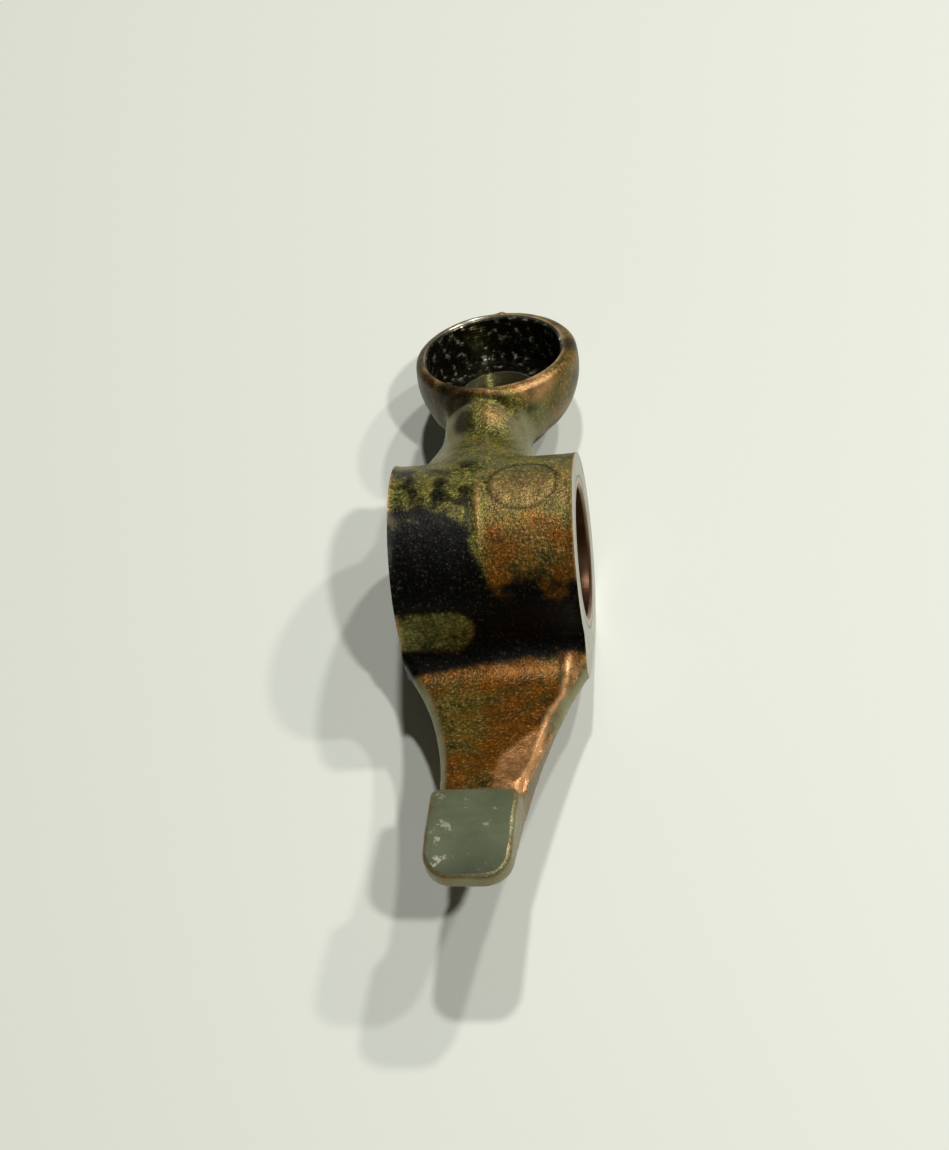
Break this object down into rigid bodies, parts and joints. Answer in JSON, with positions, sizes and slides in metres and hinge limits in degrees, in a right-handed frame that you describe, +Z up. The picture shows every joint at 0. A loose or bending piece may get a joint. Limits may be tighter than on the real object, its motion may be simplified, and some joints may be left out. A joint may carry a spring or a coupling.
{
  "type": "rocker arm",
  "caption": "Cast rocker arm, upside down: bushed shaft barrel with a round adjuster pocket on a short neck and a tapering arm that ends in a ground slipper pad.",
  "frame": {"origin": "middle of the shaft bore, on the parting plane of the casting", "axes": "+X along the shaft bore, +Y from the bore towards the adjuster pocket, +Z up with the pad face and the pocket's mouth upwards, as the arm lies on its back"},
  "size_m": [0.0248, 0.0997, 0.0272],
  "materials": {
    "cast_iron_skin": "as-cast skin under a dark brown oil film, with ground side faces, pad face and pocket",
    "bush_bronze": "bored bronze, worn smooth and stained by oil"
  },
  "bodies": {
    "root": {"arm_casting": "cast_iron_skin", "shaft_bush": "bush_bronze"}
  },
  "joints": []
}
